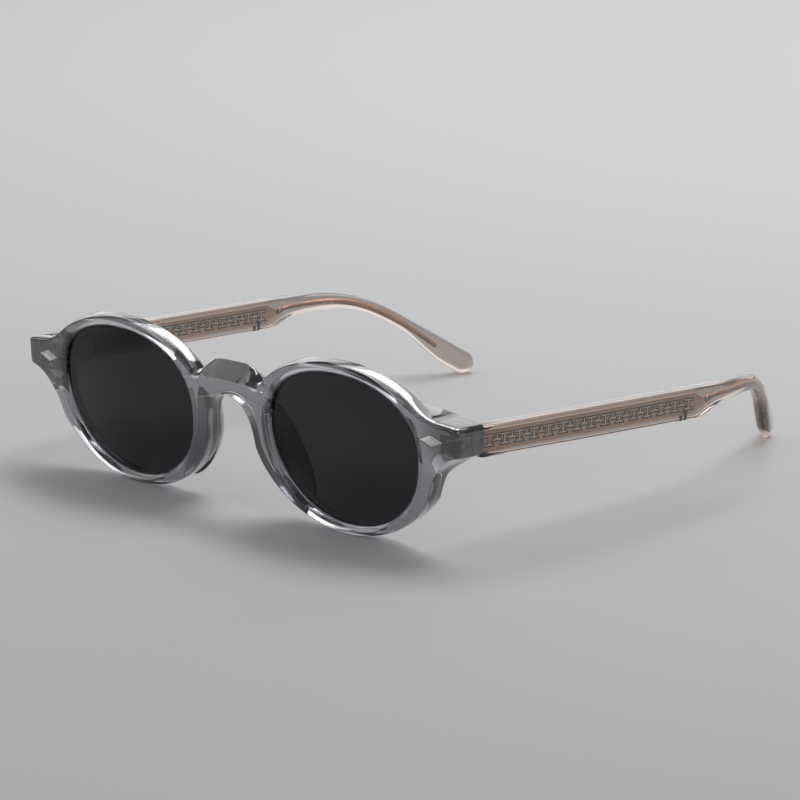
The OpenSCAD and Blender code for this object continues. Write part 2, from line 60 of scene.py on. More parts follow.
# The rims: depth, and width above, below, at the nose and at the side
RIM_T, RIM_TOP, RIM_BOTTOM, RIM_NOSE, RIM_SIDE = 4.6, 2.4, 2.5, 6.4, 5.3
# Roundings of the front's upper, lower and back edges, and the bevel round a lens
RIM_ROUND, UNDER_ROUND, BACK_ROUND, BEVEL_W, BEVEL_D = 1.0, 0.4, 0.6, 1.2, 0.7
# The bridge: top, height, bevel, and how flat that bevel is
BRIDGE_TOP, BRIDGE_H, BRIDGE_BEVEL, BRIDGE_FLAT = 36.2, 7.5, 3.4, 0.85
# The endpieces: span over both, height, middle, depth, corner, and the rise to the rim
FRONT_W, END_H, END_MID, END_D, END_R = 139.4, 7.4, 27.8, 8.6, 1.4
END_RISE, END_BLEND = 2.6, 1.8
# Lean of the front, depth of its wrap, and fall and splay of the temples
TILT, WRAP, FALL, SPLAY = 9.4, 2.9, 3.3, 1.9
# The temples: height, thickness and length of the straight, then the neck and the paddle
TEMPLE_H, TEMPLE_T, STRAIGHT, NECK_H, NECK_T, PADDLE_H = 7.4, 4.3, 71.5, 3.5, 3.6, 6.0
HOOK_PITCH, HOOK_YAW, SEAM_GAP = 29.0, 30.0, 0.1
# The core plate and its wire
CORE_H, CORE_T, CORE_LEN, WIRE_D = 4.8, 0.9, 78.0, 1.2
# The nose pads: depth, and the arc of the opening that they cover
PAD_DEPTH, PAD_SPAN, PAD_MID = 5.0, 70.0, 197.0
# The diamonds: width, height, and distance in from the middle between lens and end
DIAMOND_W, DIAMOND_H, DIAMOND_IN = 6.6, 2.9, 1.55
# Where the solids stand: lowest point and middle of the leaned front, its seam, the hinge
FRONT_LOW, MID_Y, SEAM_Y, HINGE_Z = 0.283087, 66.0615, 6.77335, 26.6362

# How far the skins of the front and the temples stay inside their solids
INSIDE = 0.03
OPEN_A, OPEN_B = LENS_W / 2, LENS_H / 2
OPEN_X, OPEN_Z = (LENS_W + LENS_GAP) / 2, OPEN_B + RIM_BOTTOM
RIM_A = OPEN_A + (RIM_NOSE + RIM_SIDE) / 2 - INSIDE
RIM_B = OPEN_B + (RIM_TOP + RIM_BOTTOM) / 2 - INSIDE
RIM_X, RIM_Z = OPEN_X + (RIM_SIDE - RIM_NOSE) / 2, OPEN_Z + (RIM_TOP - RIM_BOTTOM) / 2
RIM_POWER, RIM_EGG = LENS_POWER - 0.15, LENS_EGG - 0.02
FRONT_E, END_TOP, END_BOTTOM = FRONT_W / 2, END_MID + END_H / 2, END_MID - END_H / 2
WRAP_POWER, WRAP_SPAN = 2.6, 70.0
VALLEY_X = RIM_X - 0.9 * RIM_A
CORNER_X = FRONT_E - END_R


def sin(a):
    return math.sin(math.radians(a))


def cos(a):
    return math.cos(math.radians(a))


def smooth(x, a, b):
    t = min(1.0, max(0.0, (x - a) / (b - a)))
    return t * t * (3 - 2 * t)


def soft_max(p, q, k):
    return max(p, q) + k * math.log(1 + math.exp(-abs(p - q) / k))


def signed_power(x, p):
    return math.copysign(abs(x) ** p, x)


def bezier(p, q, r, t):
    return tuple((1 - t) ** 2 * a + 2 * t * (1 - t) * b + t * t * c for a, b, c in zip(p, q, r))


def lerp(p, q, t):
    return tuple(a + (b - a) * t for a, b in zip(p, q))


def steps(count):
    """Evenly spaced shares from 0 to 1."""
    return [i / count for i in range(count + 1)]


def wrap(u):
    """How far the front bends back at u."""
    return WRAP * (abs(u) / WRAP_SPAN) ** WRAP_POWER


def wrap_turn(u):
    """Angle by which the front has bent back at u."""
    slope = WRAP * WRAP_POWER / WRAP_SPAN * (u / WRAP_SPAN) ** (WRAP_POWER - 1)
    return math.degrees(math.atan(slope))


LENS_TURN = wrap_turn(OPEN_X)


def egg_point(a, b, power, egg, angle):
    """A point of an oval that is squared by its power and wider above its middle."""
    c = signed_power(cos(angle), 2 / power)
    s = signed_power(sin(angle), 2 / power)
    return a * c * (1 + egg * s), b * s


def opening(angle, grow=0.0):
    return egg_point(OPEN_A + grow, OPEN_B + grow, LENS_POWER, LENS_EGG, angle)


def rim_point(angle):
    p = egg_point(RIM_A, RIM_B, RIM_POWER, RIM_EGG, angle)
    return RIM_X + p[0], RIM_Z + p[1]


def to_part(p):
    """A point (u, depth, v) of the upright front, leaned and set in the part's frame, in metres."""
    u, d, v = p
    return Vector(
        (u, d * cos(TILT) - v * sin(TILT) - MID_Y, d * sin(TILT) + v * cos(TILT) - FRONT_LOW)
    ) * MM


def lens_to_front(p):
    """A point of a lens's own frame in the frame of the upright front."""
    x, d, z = p
    return (
        OPEN_X + x * cos(LENS_TURN) - d * sin(LENS_TURN),
        wrap(OPEN_X) + x * sin(LENS_TURN) + d * cos(LENS_TURN),
        OPEN_Z + z,
    )


def seam_to_part(p):
    """A point of the seam's frame, +Y back along the temple, in the part's frame, in metres."""
    x, y, z = p
    return Vector(
        (x, SEAM_Y - MID_Y + y * cos(FALL) + z * sin(FALL), HINGE_Z - y * sin(FALL) + z * cos(FALL))
    ) * MM


# Mesh making

def ring_of(bm, points):
    """A closed ring, made as a circle and laid on the points."""
    verts = bmesh.ops.create_circle(bm, segments=len(points), radius=1.0)["verts"]
    for v, p in zip(verts, points):
        v.co = p
    return verts


def next_ring(bm, verts, points):
    """Extrudes a closed ring and lays what it makes on the points."""
    count = len(verts)
    edges = [bm.edges.get((verts[i], verts[(i + 1) % count])) for i in range(count)]
    made = bmesh.ops.extrude_edge_only(bm, edges=edges)["geom"]
    new = {g for g in made if isinstance(g, bmesh.types.BMVert)}
    ring = [next(e.other_vert(v) for e in v.link_edges if e.other_vert(v) in new) for v in verts]
    for v, p in zip(ring, points):
        v.co = p
    return ring


def loft(bm, rings, closed=True):
    """Skin through rings of points, closed with flat ends."""
    first = last = ring_of(bm, rings[0])
    for points in rings[1:]:
        last = next_ring(bm, last, points)
    if closed:
        bmesh.ops.contextual_create(bm, geom=first)
        bmesh.ops.contextual_create(bm, geom=last)


def plate(bm, points, way):
    """A flat outline made into a slab by one extrusion along way."""
    ring = [bm.verts.new(p) for p in points]
    edges = [bm.edges.new(pair) for pair in zip(ring, ring[1:] + ring[:1])]
    face = bmesh.ops.contextual_create(bm, geom=edges)["faces"][0]
    made = bmesh.ops.extrude_face_region(bm, geom=[face])["geom"]
    verts = [g for g in made if isinstance(g, bmesh.types.BMVert)]
    bmesh.ops.translate(bm, vec=way, verts=verts)
    return ring + verts


def finish_piece(bm, name, body, material, replaces=(), sharp=30.0, weld=0.0001 * MM):
    """Closes a bmesh into an object that rides on its body. A right piece mirrors the left one."""
    if name.endswith("_right"):
        bmesh.ops.scale(bm, vec=(-1, 1, 1), verts=bm.verts[:])
    bmesh.ops.remove_doubles(bm, verts=bm.verts[:], dist=weld)
    bmesh.ops.recalc_face_normals(bm, faces=bm.faces[:])
    mesh = bpy.data.meshes.new(name)
    bm.to_mesh(mesh)
    bm.free()
    mesh.shade_smooth()
    mesh.set_sharp_from_angle(angle=math.radians(sharp))
    mesh.materials.append(material)
    piece = bpy.data.objects.new(name, mesh)
    bpy.context.scene.collection.objects.link(piece)
    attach(piece, body)
    if replaces:
        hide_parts(*replaces)
    return piece


# Materials

ACETATE_IOR, LACQUER_IOR, LACQUER_ROUGH, LENS_IOR = 1.49, 1.8, 0.04, 1.3
LENS_SHADE = (0.25, 0.25, 0.26)


def new_material(name):
    """A material with its tree, its shader and its output."""
    material = bpy.data.materials.new(name)
    material.use_nodes = True
    tree = material.node_tree
    return material, tree, tree.nodes["Principled BSDF"], tree.nodes["Material Output"]


def noise(tree, scale, detail=4.0, stretch=(1, 1, 1)):
    """A noise pattern on the piece's own coordinates."""
    coords = tree.nodes.new("ShaderNodeTexCoord")
    mapping = tree.nodes.new("ShaderNodeMapping")
    mapping.inputs["Scale"].default_value = stretch
    pattern = tree.nodes.new("ShaderNodeTexNoise")
    pattern.inputs["Scale"].default_value = scale
    pattern.inputs["Detail"].default_value = detail
    tree.links.new(coords.outputs["Object"], mapping.inputs["Vector"])
    tree.links.new(mapping.outputs["Vector"], pattern.inputs["Vector"])
    return pattern


def spread(tree, pattern, low, high, target):
    """Maps a pattern to a range and drives a socket with it."""
    span = tree.nodes.new("ShaderNodeMapRange")
    span.inputs["To Min"].default_value = low
    span.inputs["To Max"].default_value = high
    tree.links.new(pattern.outputs["Fac"], span.inputs["Value"])
    tree.links.new(span.outputs["Result"], target)


def relief(tree, pattern, shader, strength, distance):
    """Lets a pattern ripple a surface."""
    bump = tree.nodes.new("ShaderNodeBump")
    bump.inputs["Strength"].default_value = strength
    bump.inputs["Distance"].default_value = distance
    tree.links.new(pattern.outputs["Fac"], bump.inputs["Height"])
    tree.links.new(bump.outputs["Normal"], shader.inputs["Normal"])


def let_light_through(tree, shader, out, shade):
    """Lightens the shadow of a clear material to a shade."""
    path = tree.nodes.new("ShaderNodeLightPath")
    lit = tree.nodes.new("ShaderNodeBsdfTransparent")
    lit.inputs["Color"].default_value = (*shade, 1)
    mix = tree.nodes.new("ShaderNodeMixShader")
    tree.links.new(path.outputs["Is Shadow Ray"], mix.inputs["Fac"])
    tree.links.new(shader.outputs["BSDF"], mix.inputs[1])
    tree.links.new(lit.outputs["BSDF"], mix.inputs[2])
    tree.links.new(mix.outputs["Shader"], out.inputs["Surface"])


def clear_acetate(name, tint, depth_tint, density, shade, coat):
    """Polished clear acetate: tinted through its thickness, with a hand-polished skin."""
    material, tree, shader, out = new_material(name)
    shader.inputs["Base Color"].default_value = (*tint, 1)
    shader.inputs["Transmission Weight"].default_value = 1.0
    shader.inputs["IOR"].default_value = ACETATE_IOR
    shader.inputs["Coat Weight"].default_value = coat
    shader.inputs["Coat Roughness"].default_value = LACQUER_ROUGH
    shader.inputs["Coat IOR"].default_value = LACQUER_IOR
    buffed = noise(tree, 160, 3)
    spread(tree, buffed, 0.01, 0.03, shader.inputs["Roughness"])
    wave = noise(tree, 70, 1)
    relief(tree, wave, shader, 0.04, 0.0003)
    absorption = tree.nodes.new("ShaderNodeVolumeAbsorption")
    absorption.inputs["Color"].default_value = (*depth_tint, 1)
    absorption.inputs["Density"].default_value = density
    tree.links.new(absorption.outputs["Volume"], out.inputs["Volume"])
    let_light_through(tree, shader, out, shade)
    return material


def lens_tint(name, tint, shine):
    """Near black lens that lets a little of what is behind it through."""
    material, tree, shader, out = new_material(name)
    shader.inputs["Base Color"].default_value = (*tint, 1)
    shader.inputs["Transmission Weight"].default_value = 1.0
    shader.inputs["IOR"].default_value = LENS_IOR
    shader.inputs["Specular IOR Level"].default_value = shine
    haze = noise(tree, 220, 2)
    spread(tree, haze, 0.002, 0.012, shader.inputs["Roughness"])
    let_light_through(tree, shader, out, LENS_SHADE)
    return material


def metal(name, dark, light, rough, grain_scale, stretch=(1, 1, 1), depth=0.03 * MM, metallic=1.0):
    """Plated metal whose tone and shine vary along its grain, pressed in to depth."""
    material, tree, shader, out = new_material(name)
    shader.inputs["Metallic"].default_value = metallic
    grain = noise(tree, grain_scale, 5, stretch)
    ramp = tree.nodes.new("ShaderNodeValToRGB")
    ramp.color_ramp.elements[0].position = 0.3
    ramp.color_ramp.elements[0].color = (*dark, 1)
    ramp.color_ramp.elements[1].position = 0.7
    ramp.color_ramp.elements[1].color = (*light, 1)
    tree.links.new(grain.outputs["Fac"], ramp.inputs["Fac"])
    tree.links.new(ramp.outputs["Color"], shader.inputs["Base Color"])
    spread(tree, grain, rough * 0.8, rough * 1.3, shader.inputs["Roughness"])
    relief(tree, grain, shader, 0.3, depth)
    return material


# The outline of the front, one half

BRIDGE_DROP, BRIDGE_POWER, BRIDGE_BLEND = 4, 4, 0.6
BRIDGE_IN, BRIDGE_OUT = 0.6 * VALLEY_X, 1.05 * VALLEY_X
END_SINK, END_SLOPE, END_EDGE = 0.1, 0.2, 0.4
UPPER_FROM, UPPER_ARC, UNDER_FROM, UNDER_ARC = 152, 116, 190, 148
ARCH_PULL, UNDER_PULL, UNDER_SAG = 0.92, 0.36, 1.2


def bridge_line(u):
    """Height of the bridge's top at u."""
    return BRIDGE_TOP - BRIDGE_DROP * (abs(u) / VALLEY_X) ** BRIDGE_POWER


def end_line(u):
    """Height of an endpiece's top at u, rising towards the rim."""
    run = END_SLOPE * (FRONT_E - u)
    return END_TOP - END_SINK + END_RISE * (1 - math.exp(-run / END_RISE))


def rim_height(u):
    """Height of the rim's outer edge at u."""
    s = min(1.0, abs(u - RIM_X) / (RIM_A * (1 + 0.6 * RIM_EGG)))
    return RIM_Z + RIM_B * (1 - s ** RIM_POWER) ** (1 / RIM_POWER)


def upper_height(u, height):
    """The rim's height blended with the bridge's and the endpiece's."""
    low = end_line(u) if u > RIM_X else 0.0
    return soft_max(soft_max(height, bridge_line(u), BRIDGE_BLEND), low, END_BLEND)


def corner_turn(corner):
    """Sine and one less cosine of a quarter turn's steps."""
    for i in range(1, corner + 1):
        yield sin(90 * i / corner), 1 - cos(90 * i / corner)


def upper_half(bridge=14, rim=72, end=16, corner=6):
    """The upper edge, from the middle out to the endpiece's upper corner."""
    rims = [rim_point(UPPER_FROM - UPPER_ARC * t) for t in steps(rim)]
    start, stop = rims[0][0], rims[-1][0]
    points = [(start * i / bridge, 0) for i in range(bridge)]
    points = [(u, upper_height(u, rim_height(u))) for u, v in points]
    points += [(u, upper_height(u, v)) for u, v in rims]
    tail = [stop + (CORNER_X - stop) * i / end for i in range(1, end + 1)]
    points += [(u, upper_height(u, rim_height(u))) for u in tail]
    top = end_line(CORNER_X)
    points += [(CORNER_X + END_R * out, top - END_R * down) for out, down in corner_turn(corner)]
    return points


def lower_half(bridge=14, rim=72, end=14, corner=6):
    """The lower edge, from the bridge's arch out to the endpiece's lower corner."""
    arch_start, arch_end = (0.0, BRIDGE_TOP - BRIDGE_H), rim_point(UNDER_FROM)
    arch_pull = (ARCH_PULL * arch_end[0], arch_start[1])
    under_start, under_end = rim_point(UNDER_FROM + UNDER_ARC - 360), (CORNER_X, END_BOTTOM)
    run = under_end[0] - under_start[0]
    under_pull = (under_start[0] + UNDER_PULL * run, END_BOTTOM - UNDER_SAG)
    points = [bezier(arch_start, arch_pull, arch_end, i / bridge) for i in range(bridge)]
    points += [rim_point(UNDER_FROM + UNDER_ARC * t) for t in steps(rim)]
    points += [bezier(under_start, under_pull, under_end, i / end) for i in range(1, end + 1)]
    points += [(CORNER_X + END_R * out, END_BOTTOM + END_R * up) for out, up in corner_turn(corner)]
    return points


def half_outline(edge=4, middle=8):
    """Points round one half: out along the top, back along the underside, up the middle.

    Each has its outward normal and a share that is 1 on the upper side.
    """
    upper, lower = upper_half(), lower_half()
    end_run = [lerp(upper[-1], lower[-1], i / edge) for i in range(1, edge)]
    loop = upper + end_run + lower[::-1]
    full = [(-loop[1][0], loop[1][1])] + loop + [(-loop[-2][0], loop[-2][1])]
    points = []
    for i, p in enumerate(loop):
        before, after = Vector(full[i]), Vector(full[i + 2])
        t = (after - before).normalized()
        share = 1.0 if i < len(upper) else 0.0
        if p[0] > CORNER_X:
            share = smooth(p[1], END_BOTTOM + END_EDGE, END_TOP - END_EDGE)
        points.append((p, (-t[1], t[0]), share))
    for t in steps(middle)[1:-1]:
        points.append((lerp(loop[-1], loop[0], t), (0.0, 1 - 2 * smooth(1 - t, 0, 1)), t))
    return points


# The skin of the front: where an endpiece begins, and how deep and wide its edges are

END_FROM, END_FULL, END_EXTRA = RIM_X + 0.8 * RIM_A, FRONT_E - 6, 0.2
UNDER_DEEP, UPPER_DEEP, BRIDGE_DEEP = 1.6, 1.0, 1.2
BACK_FROM, BACK_FULL, BACK_LOW, BACK_HIGH = FRONT_E - 13.5, FRONT_E - 8.5, 5, 0.5
FALL_FROM, FALL_FULL, PAST_SEAM = FRONT_E - 15, FRONT_E - 8, 2
ROUND_IN, ROUND_DEEP = 0.92, 0.97


def end_share(u):
    """1 on an endpiece, 0 on the rim."""
    return smooth(abs(u), END_FROM, END_FULL)


def bridge_share(u):
    """1 on the bridge, 0 on the rim."""
    return 1 - smooth(abs(u), BRIDGE_IN, BRIDGE_OUT)


def front_inset(u, upper):
    """How far the face stops short of the outline."""
    high = RIM_ROUND + (BRIDGE_BEVEL - RIM_ROUND) * bridge_share(u) + END_EXTRA * end_share(u)
    return UNDER_ROUND + (high - UNDER_ROUND) * upper


def round_depth(u, upper):
    """How deep the face's rounding reaches."""
    return UNDER_DEEP + (UPPER_DEEP + BRIDGE_DEEP * bridge_share(u)) * upper


def back_depth(u, v):
    """Depth of the back face, growing past the seam on an endpiece."""
    reach = smooth(abs(u), BACK_FROM, BACK_FULL)
    reach *= smooth(v, END_BOTTOM - BACK_LOW, END_BOTTOM + BACK_HIGH)
    return RIM_T + (END_D + PAST_SEAM - RIM_T) * reach


def end_fall(u):
    """Slope by which an endpiece turns from the leaned front to the temple's fall."""
    return math.tan(math.radians(TILT + FALL)) * smooth(abs(u), FALL_FROM, FALL_FULL)


def skin(u, v, depth, share=1.0):
    """A point of the front's skin."""
    return u, depth + wrap(u), v - depth * end_fall(u) * share


def polar(x, z):
    return math.degrees(math.atan2(z, x)) % 360


def opening_angles(points, count=1440):
    """For each outline point, the opening's own angle on the same ray from its middle."""
    angles = [360 * i / count for i in range(count)]
    table = sorted((polar(*opening(a)), a) for a in angles)
    low, high = table[-1], table[0]
    table = [(low[0] - 360, low[1] - 360)] + table + [(high[0] + 360, high[1] + 360)]
    found = []
    for p in points:
        a = polar(p[0][0] - OPEN_X, p[0][1] - OPEN_Z)
        i = next(k for k in range(1, len(table)) if table[k][0] >= a)
        (a0, t0), (a1, t1) = table[i - 1], table[i]
        found.append(t0 + (t1 - t0) * (a - a0) / (a1 - a0))
    return found


# Depths in a lens's own frame, of the lens and of the front's two faces

def lens_front_at(x, z):
    return LENS_SET + LENS_CURVE - math.sqrt(LENS_CURVE ** 2 - x * x - z * z)


def lens_back_at(x, z):
    return LENS_SET + LENS_CURVE - math.sqrt((LENS_CURVE - LENS_T) ** 2 - x * x - z * z)


def front_face_at(x, z):
    return wrap(OPEN_X + x) - wrap(OPEN_X) - math.tan(math.radians(LENS_TURN)) * x


def back_face_at(x, z):
    """Depth of the back face, which is given in the front's frame, found step by step."""
    d = RIM_T
    for _ in range(6):
        u, y, v = lens_to_front((x, d, z))
        d += (back_depth(u, v) + wrap(u) - y) / cos(LENS_TURN)
    return d


def lens_wall_at(x, z):
    return max(back_face_at(x, z) - 0.22, lens_back_at(x, z) + 0.12)


# Rings of the opening's wall, from the groove to the front face and from the back face to
# the groove: growth past the opening, the surface they lie on, and their depth behind it
GROOVE_GAP = 0.03
GROOVE_BITE = LENS_BITE + GROOVE_GAP
BEVEL_WALL = (
    (GROOVE_BITE, lens_front_at, -GROOVE_GAP),
    (0.05, lens_front_at, -GROOVE_GAP),
    (0.0, lens_front_at, -0.1),
    (0.0, front_face_at, BEVEL_D + 0.12),
    (0.03, front_face_at, BEVEL_D + 0.03),
    (0.1, front_face_at, BEVEL_D - 0.07),
    (BEVEL_W - 0.16, front_face_at, 0.13),
    (BEVEL_W - 0.02, front_face_at, 0.03),
    (BEVEL_W + 0.12, front_face_at, 0.0),
)
BACK_LIP = (0.25, back_face_at, 0.0)
BACK_WALL = (
    (0.08, back_face_at, -0.06),
    (0.0, lens_wall_at, 0.0),
    (0.0, lens_back_at, 0.06),
    (0.05, lens_back_at, GROOVE_GAP),
    (GROOVE_BITE, lens_back_at, GROOVE_GAP),
)


def opening_ring(angles, grow, surface_at, behind):
    """A ring on the wall of an opening."""
    ring = []
    for a in angles:
        x, z = opening(a, grow)
        ring.append(lens_to_front((x, surface_at(x, z) + behind, z)))
    return ring


def front_round(p, upper, turn):
    """Inset and depth on the face's rounding, which is nearly a plane on the bridge."""
    inset, deep = front_inset(p[0], upper), round_depth(p[0], upper)
    in_share, deep_share = 1 - sin(turn) ** ROUND_IN, (1 - cos(turn)) ** ROUND_DEEP
    along, flat = (deep_share - in_share + 1) / 2, BRIDGE_FLAT * bridge_share(p[0]) * upper
    return (
        inset * (in_share + (1 - along - in_share) * flat),
        deep * (deep_share + (along - deep_share) * flat),
    )


def outer_wall(p, upper, share):
    """Inset and depth on the edge between the two roundings."""
    start, stop = round_depth(p[0], upper), back_depth(*p) - BACK_ROUND
    return 0.0, start + (stop - start) * share


def back_round(p, upper, turn):
    """Inset and depth on the back face's rounding."""
    return BACK_ROUND * (1 - cos(turn)), back_depth(*p) - BACK_ROUND * (1 - sin(turn))


def edge_rings(outline, place, stations):
    """Rings along the outline, each at the inset and depth that place gives for its station."""
    rings = []
    for station in stations:
        ring = []
        for p, n, upper in outline:
            off, depth = place(p, upper, station)
            ring.append(skin(p[0] - off * n[0], p[1] - off * n[1], depth))
        rings.append(ring)
    return rings


def face_rings(starts, ends, count, place):
    """Rings across a face, between the (u, v) points of its two borders."""
    return [
        [place(*lerp(a, b, t), t) for a, b in zip(starts, ends)] for t in steps(count)[1:]
    ]


def front_rings(face_count=7, round_count=8, back_count=6):
    """Rings of points from the groove over the face and the outer edge and back to the groove."""
    outline = half_outline()
    angles = opening_angles(outline)
    turns = [90 * t for t in steps(round_count)[1:]]
    rings = [opening_ring(angles, *station) for station in BEVEL_WALL]
    inner = [(p[0], p[2]) for p in rings[-1]]
    outer = []
    for p, n, upper in outline:
        inset = front_inset(p[0], upper)
        outer.append((p[0] - inset * n[0], p[1] - inset * n[1]))
    rings += face_rings(inner, outer, face_count, lambda u, v, t: skin(u, v, 0.0))
    rings += edge_rings(outline, front_round, turns)
    rings += edge_rings(outline, outer_wall, (0.45, 1.0))
    rings += edge_rings(outline, back_round, turns)
    outer = [(p[0] - BACK_ROUND * n[0], p[1] - BACK_ROUND * n[1]) for p, n, upper in outline]
    inner = [(p[0], p[2]) for p in opening_ring(angles, *BACK_LIP)]
    rings += face_rings(
        outer, inner, back_count, lambda u, v, t: skin(u, v, back_depth(u, v), 1 - t)
    )
    return rings + [opening_ring(angles, *station) for station in BACK_WALL]


FRONT_WELD, ON_MIDDLE = 0.002 * MM, 0.001 * MM


def build_front(material):
    """The acetate front: one half skinned ring by ring, cut square at the seam and mirrored."""
    bm = bmesh.new()
    rings = [[to_part(p) for p in ring] for ring in front_rings()]
    loft(bm, rings + rings[:1], closed=False)
    bmesh.ops.remove_doubles(bm, verts=bm.verts[:], dist=FRONT_WELD)
    middle = [f for f in bm.faces if all(abs(v.co.x) < ON_MIDDLE for v in f.verts)]
    bmesh.ops.delete(bm, geom=middle, context="FACES")
    loose = [v for v in bm.verts if not v.link_faces]
    bmesh.ops.delete(bm, geom=loose, context="VERTS")
    seam = seam_to_part((0, 0, 0))
    cut = bmesh.ops.bisect_plane(
        bm, geom=bm.verts[:] + bm.edges[:] + bm.faces[:], dist=1e-7,
        plane_co=seam, plane_no=(0, cos(FALL), -sin(FALL)), clear_outer=True,
    )["geom_cut"]
    rim = [g for g in cut if isinstance(g, bmesh.types.BMEdge)]
    bmesh.ops.contextual_create(bm, geom=rim)
    bmesh.ops.mirror(
        bm, geom=bm.verts[:] + bm.edges[:] + bm.faces[:], axis="X", merge_dist=FRONT_WELD
    )
    return finish_piece(
        bm, "clear_front", "front", material, ["front_frame"], 32, FRONT_WELD
    )


LENS_EDGE, LENS_CHAMFER = LENS_BITE - 0.02, 0.12


def lens_ring(share, surface_at, trim=0.0, around=120):
    """A ring on one of a lens's surfaces, at a share of the way out to its edge."""
    ring = []
    for i in range(around):
        x, z = (c * share for c in opening(360 * i / around, LENS_EDGE - trim))
        ring.append(to_part(lens_to_front((x, surface_at(x, z), z))))
    return ring


def build_lens(side, material, rings=12):
    """A curved lens with a small chamfer on both edges."""
    bm = bmesh.new()
    shares = steps(rings)[1:-1]
    front = [lens_ring(t, lens_front_at) for t in shares]
    front.append(lens_ring(1.0, lens_front_at, LENS_CHAMFER))
    back = [lens_ring(1.0, lens_back_at, LENS_CHAMFER)]
    back += [lens_ring(t, lens_back_at) for t in reversed(shares)]
    borders = list(zip(lens_ring(1.0, lens_front_at), lens_ring(1.0, lens_back_at)))
    edge = [[a.lerp(b, t) for a, b in borders] for t in (0.08, 0.92)]
    loft(bm, front + edge + back)
    return finish_piece(
        bm, f"lens_glass_{side}", "front", material, [f"lens_{side}"], 50
    )


# Section of a pad: distance out from the opening's edge, and share of its depth
PAD_SECTION = [
    (4.9, 0), (5.0, 0.18), (4.6, 0.42), (3.6, 0.72), (2.2, 0.94), (0.6, 1), (-0.9, 0.9),
    (-2.0, 0.7), (-2.1, 0.45), (-1.0, 0.18), (0.7, 0),
]
PAD_AXIS, PAD_END, PAD_POWER, PAD_SINK = 2.8, 0.06, 0.55, 0.05


def rounded(points, per=4):
    """A closed section smoothed through its points."""
    count = len(points)
    out = []
    for i in range(count):
        p0, p1, p2, p3 = (Vector(points[(i + k - 1) % count]) for k in range(4))
        for s in range(per):
            t = s / per
            out.append(
                0.5 * (2 * p1 + (p2 - p0) * t + (2 * p0 - 5 * p1 + 4 * p2 - p3) * t * t
                       + (3 * p1 - p0 - 3 * p2 + p3) * t ** 3)
            )
    return out


def build_pad(side, material, along=48):
    """A half-moon pad, bonded behind the nose side of the rim."""
    bm = bmesh.new()
    section = rounded(PAD_SECTION)
    rings = []
    for i in range(along, -1, -1):
        t = -1 + 2 * i / along
        angle = PAD_MID + t * PAD_SPAN / 2
        size = max(PAD_END, max(0.0, 1 - t * t) ** PAD_POWER)
        p, q = Vector(opening(angle)), Vector(opening(angle, 1.0))
        way = (q - p).normalized()
        ring = []
        for c in section:
            o = p + way * (PAD_AXIS + (c[0] - PAD_AXIS) * size)
            u = OPEN_X + o[0]
            depth = RIM_T - PAD_SINK + wrap(u) + PAD_DEPTH * size * max(0.0, c[1])
            ring.append(to_part((u, depth, OPEN_Z + o[1])))
        rings.append(ring)
    loft(bm, rings)
    return finish_piece(
        bm, f"soft_pad_{side}", "front", material, [f"nose_pad_{side}"], 60
    )


# Rings of a diamond and of the near-black band round it, a painted shade: growth past the outline,
# and depth in the front
DIAMOND_RINGS = ((-0.72, -0.45), (-0.1, -0.08), (0, 0.02), (0, 0.3))
SEAT_SHADE_RINGS = ((0.22, 0.04), (0.22, 0.34))
SHANK_R, SHANK_DEPTHS = 0.6, (0.28, 2.6)


def build_rivet(side, material, seat_shade):
    """A faceted diamond in a near-black band of painted shade, on a round shank."""
    bm = bmesh.new()
    x = (OPEN_X + OPEN_A + LENS_BITE + FRONT_E) / 2 - DIAMOND_IN
    turn = wrap_turn(x)

    def at(p):
        return to_part((
            x + p[0] * cos(turn) - p[1] * sin(turn),
            wrap(x) + p[0] * sin(turn) + p[1] * cos(turn),
            END_MID + p[2],
        ))

    def ring(grow, depth):
        across, up = DIAMOND_W / 2 + 2 * grow, DIAMOND_H / 2 + grow
        return [at((across * cos(90 * k), depth, up * sin(90 * k))) for k in range(4)]

    # The band round the diamond is near-black painted shade and takes the second material
    loft(bm, [ring(*station) for station in SEAT_SHADE_RINGS])
    for f in bm.faces:
        f.material_index = 1
    loft(bm, [ring(*station) for station in DIAMOND_RINGS])
    loft(bm, [
        [at((SHANK_R * cos(15 * k), depth, SHANK_R * sin(15 * k))) for k in range(24)]
        for depth in SHANK_DEPTHS
    ])
    rivet = finish_piece(
        bm, f"diamond_{side}", "front", material, [f"diamond_rivet_{side}"], 10
    )
    rivet.data.materials.append(seat_shade)
    return rivet


# The temples, along a path from the seam to the tip

PITCH_FROM, YAW_FROM, BEND_TO, PATH_STEP = STRAIGHT + 17, STRAIGHT - 1, STRAIGHT + 47, 2
STEP_FROM, STEP_H, SEAM_STEP, EDGE_R, NECK_R = STRAIGHT + 3, 5.0, 0.2, 0.5, 1.6
SEAM_RUN, STEP_RUN, THIN_RUN, PADDLE_RUN, PADDLE_FULL = 40, 9, 22, 24, 7
NECK_FROM, NECK_TO = STEP_FROM + 6, STEP_FROM + 36
ROUND_FROM, ROUND_TO = STEP_FROM + 4, STEP_FROM + 16
TIP_EDGE, TIP_POWER, LEAST_R, MOST_R = 0.12, 0.6, 0.02, 0.49


def path_yaw(s):
    """How far the path has turned inwards at s."""
    return -SPLAY + (HOOK_YAW + SPLAY) * smooth(s, YAW_FROM, BEND_TO)


def path_way(s):
    """Direction of the path at s."""
    pitch, yaw = HOOK_PITCH * smooth(s, PITCH_FROM, BEND_TO), path_yaw(s)
    return Vector((-sin(yaw) * cos(pitch), cos(yaw) * cos(pitch), -sin(pitch)))


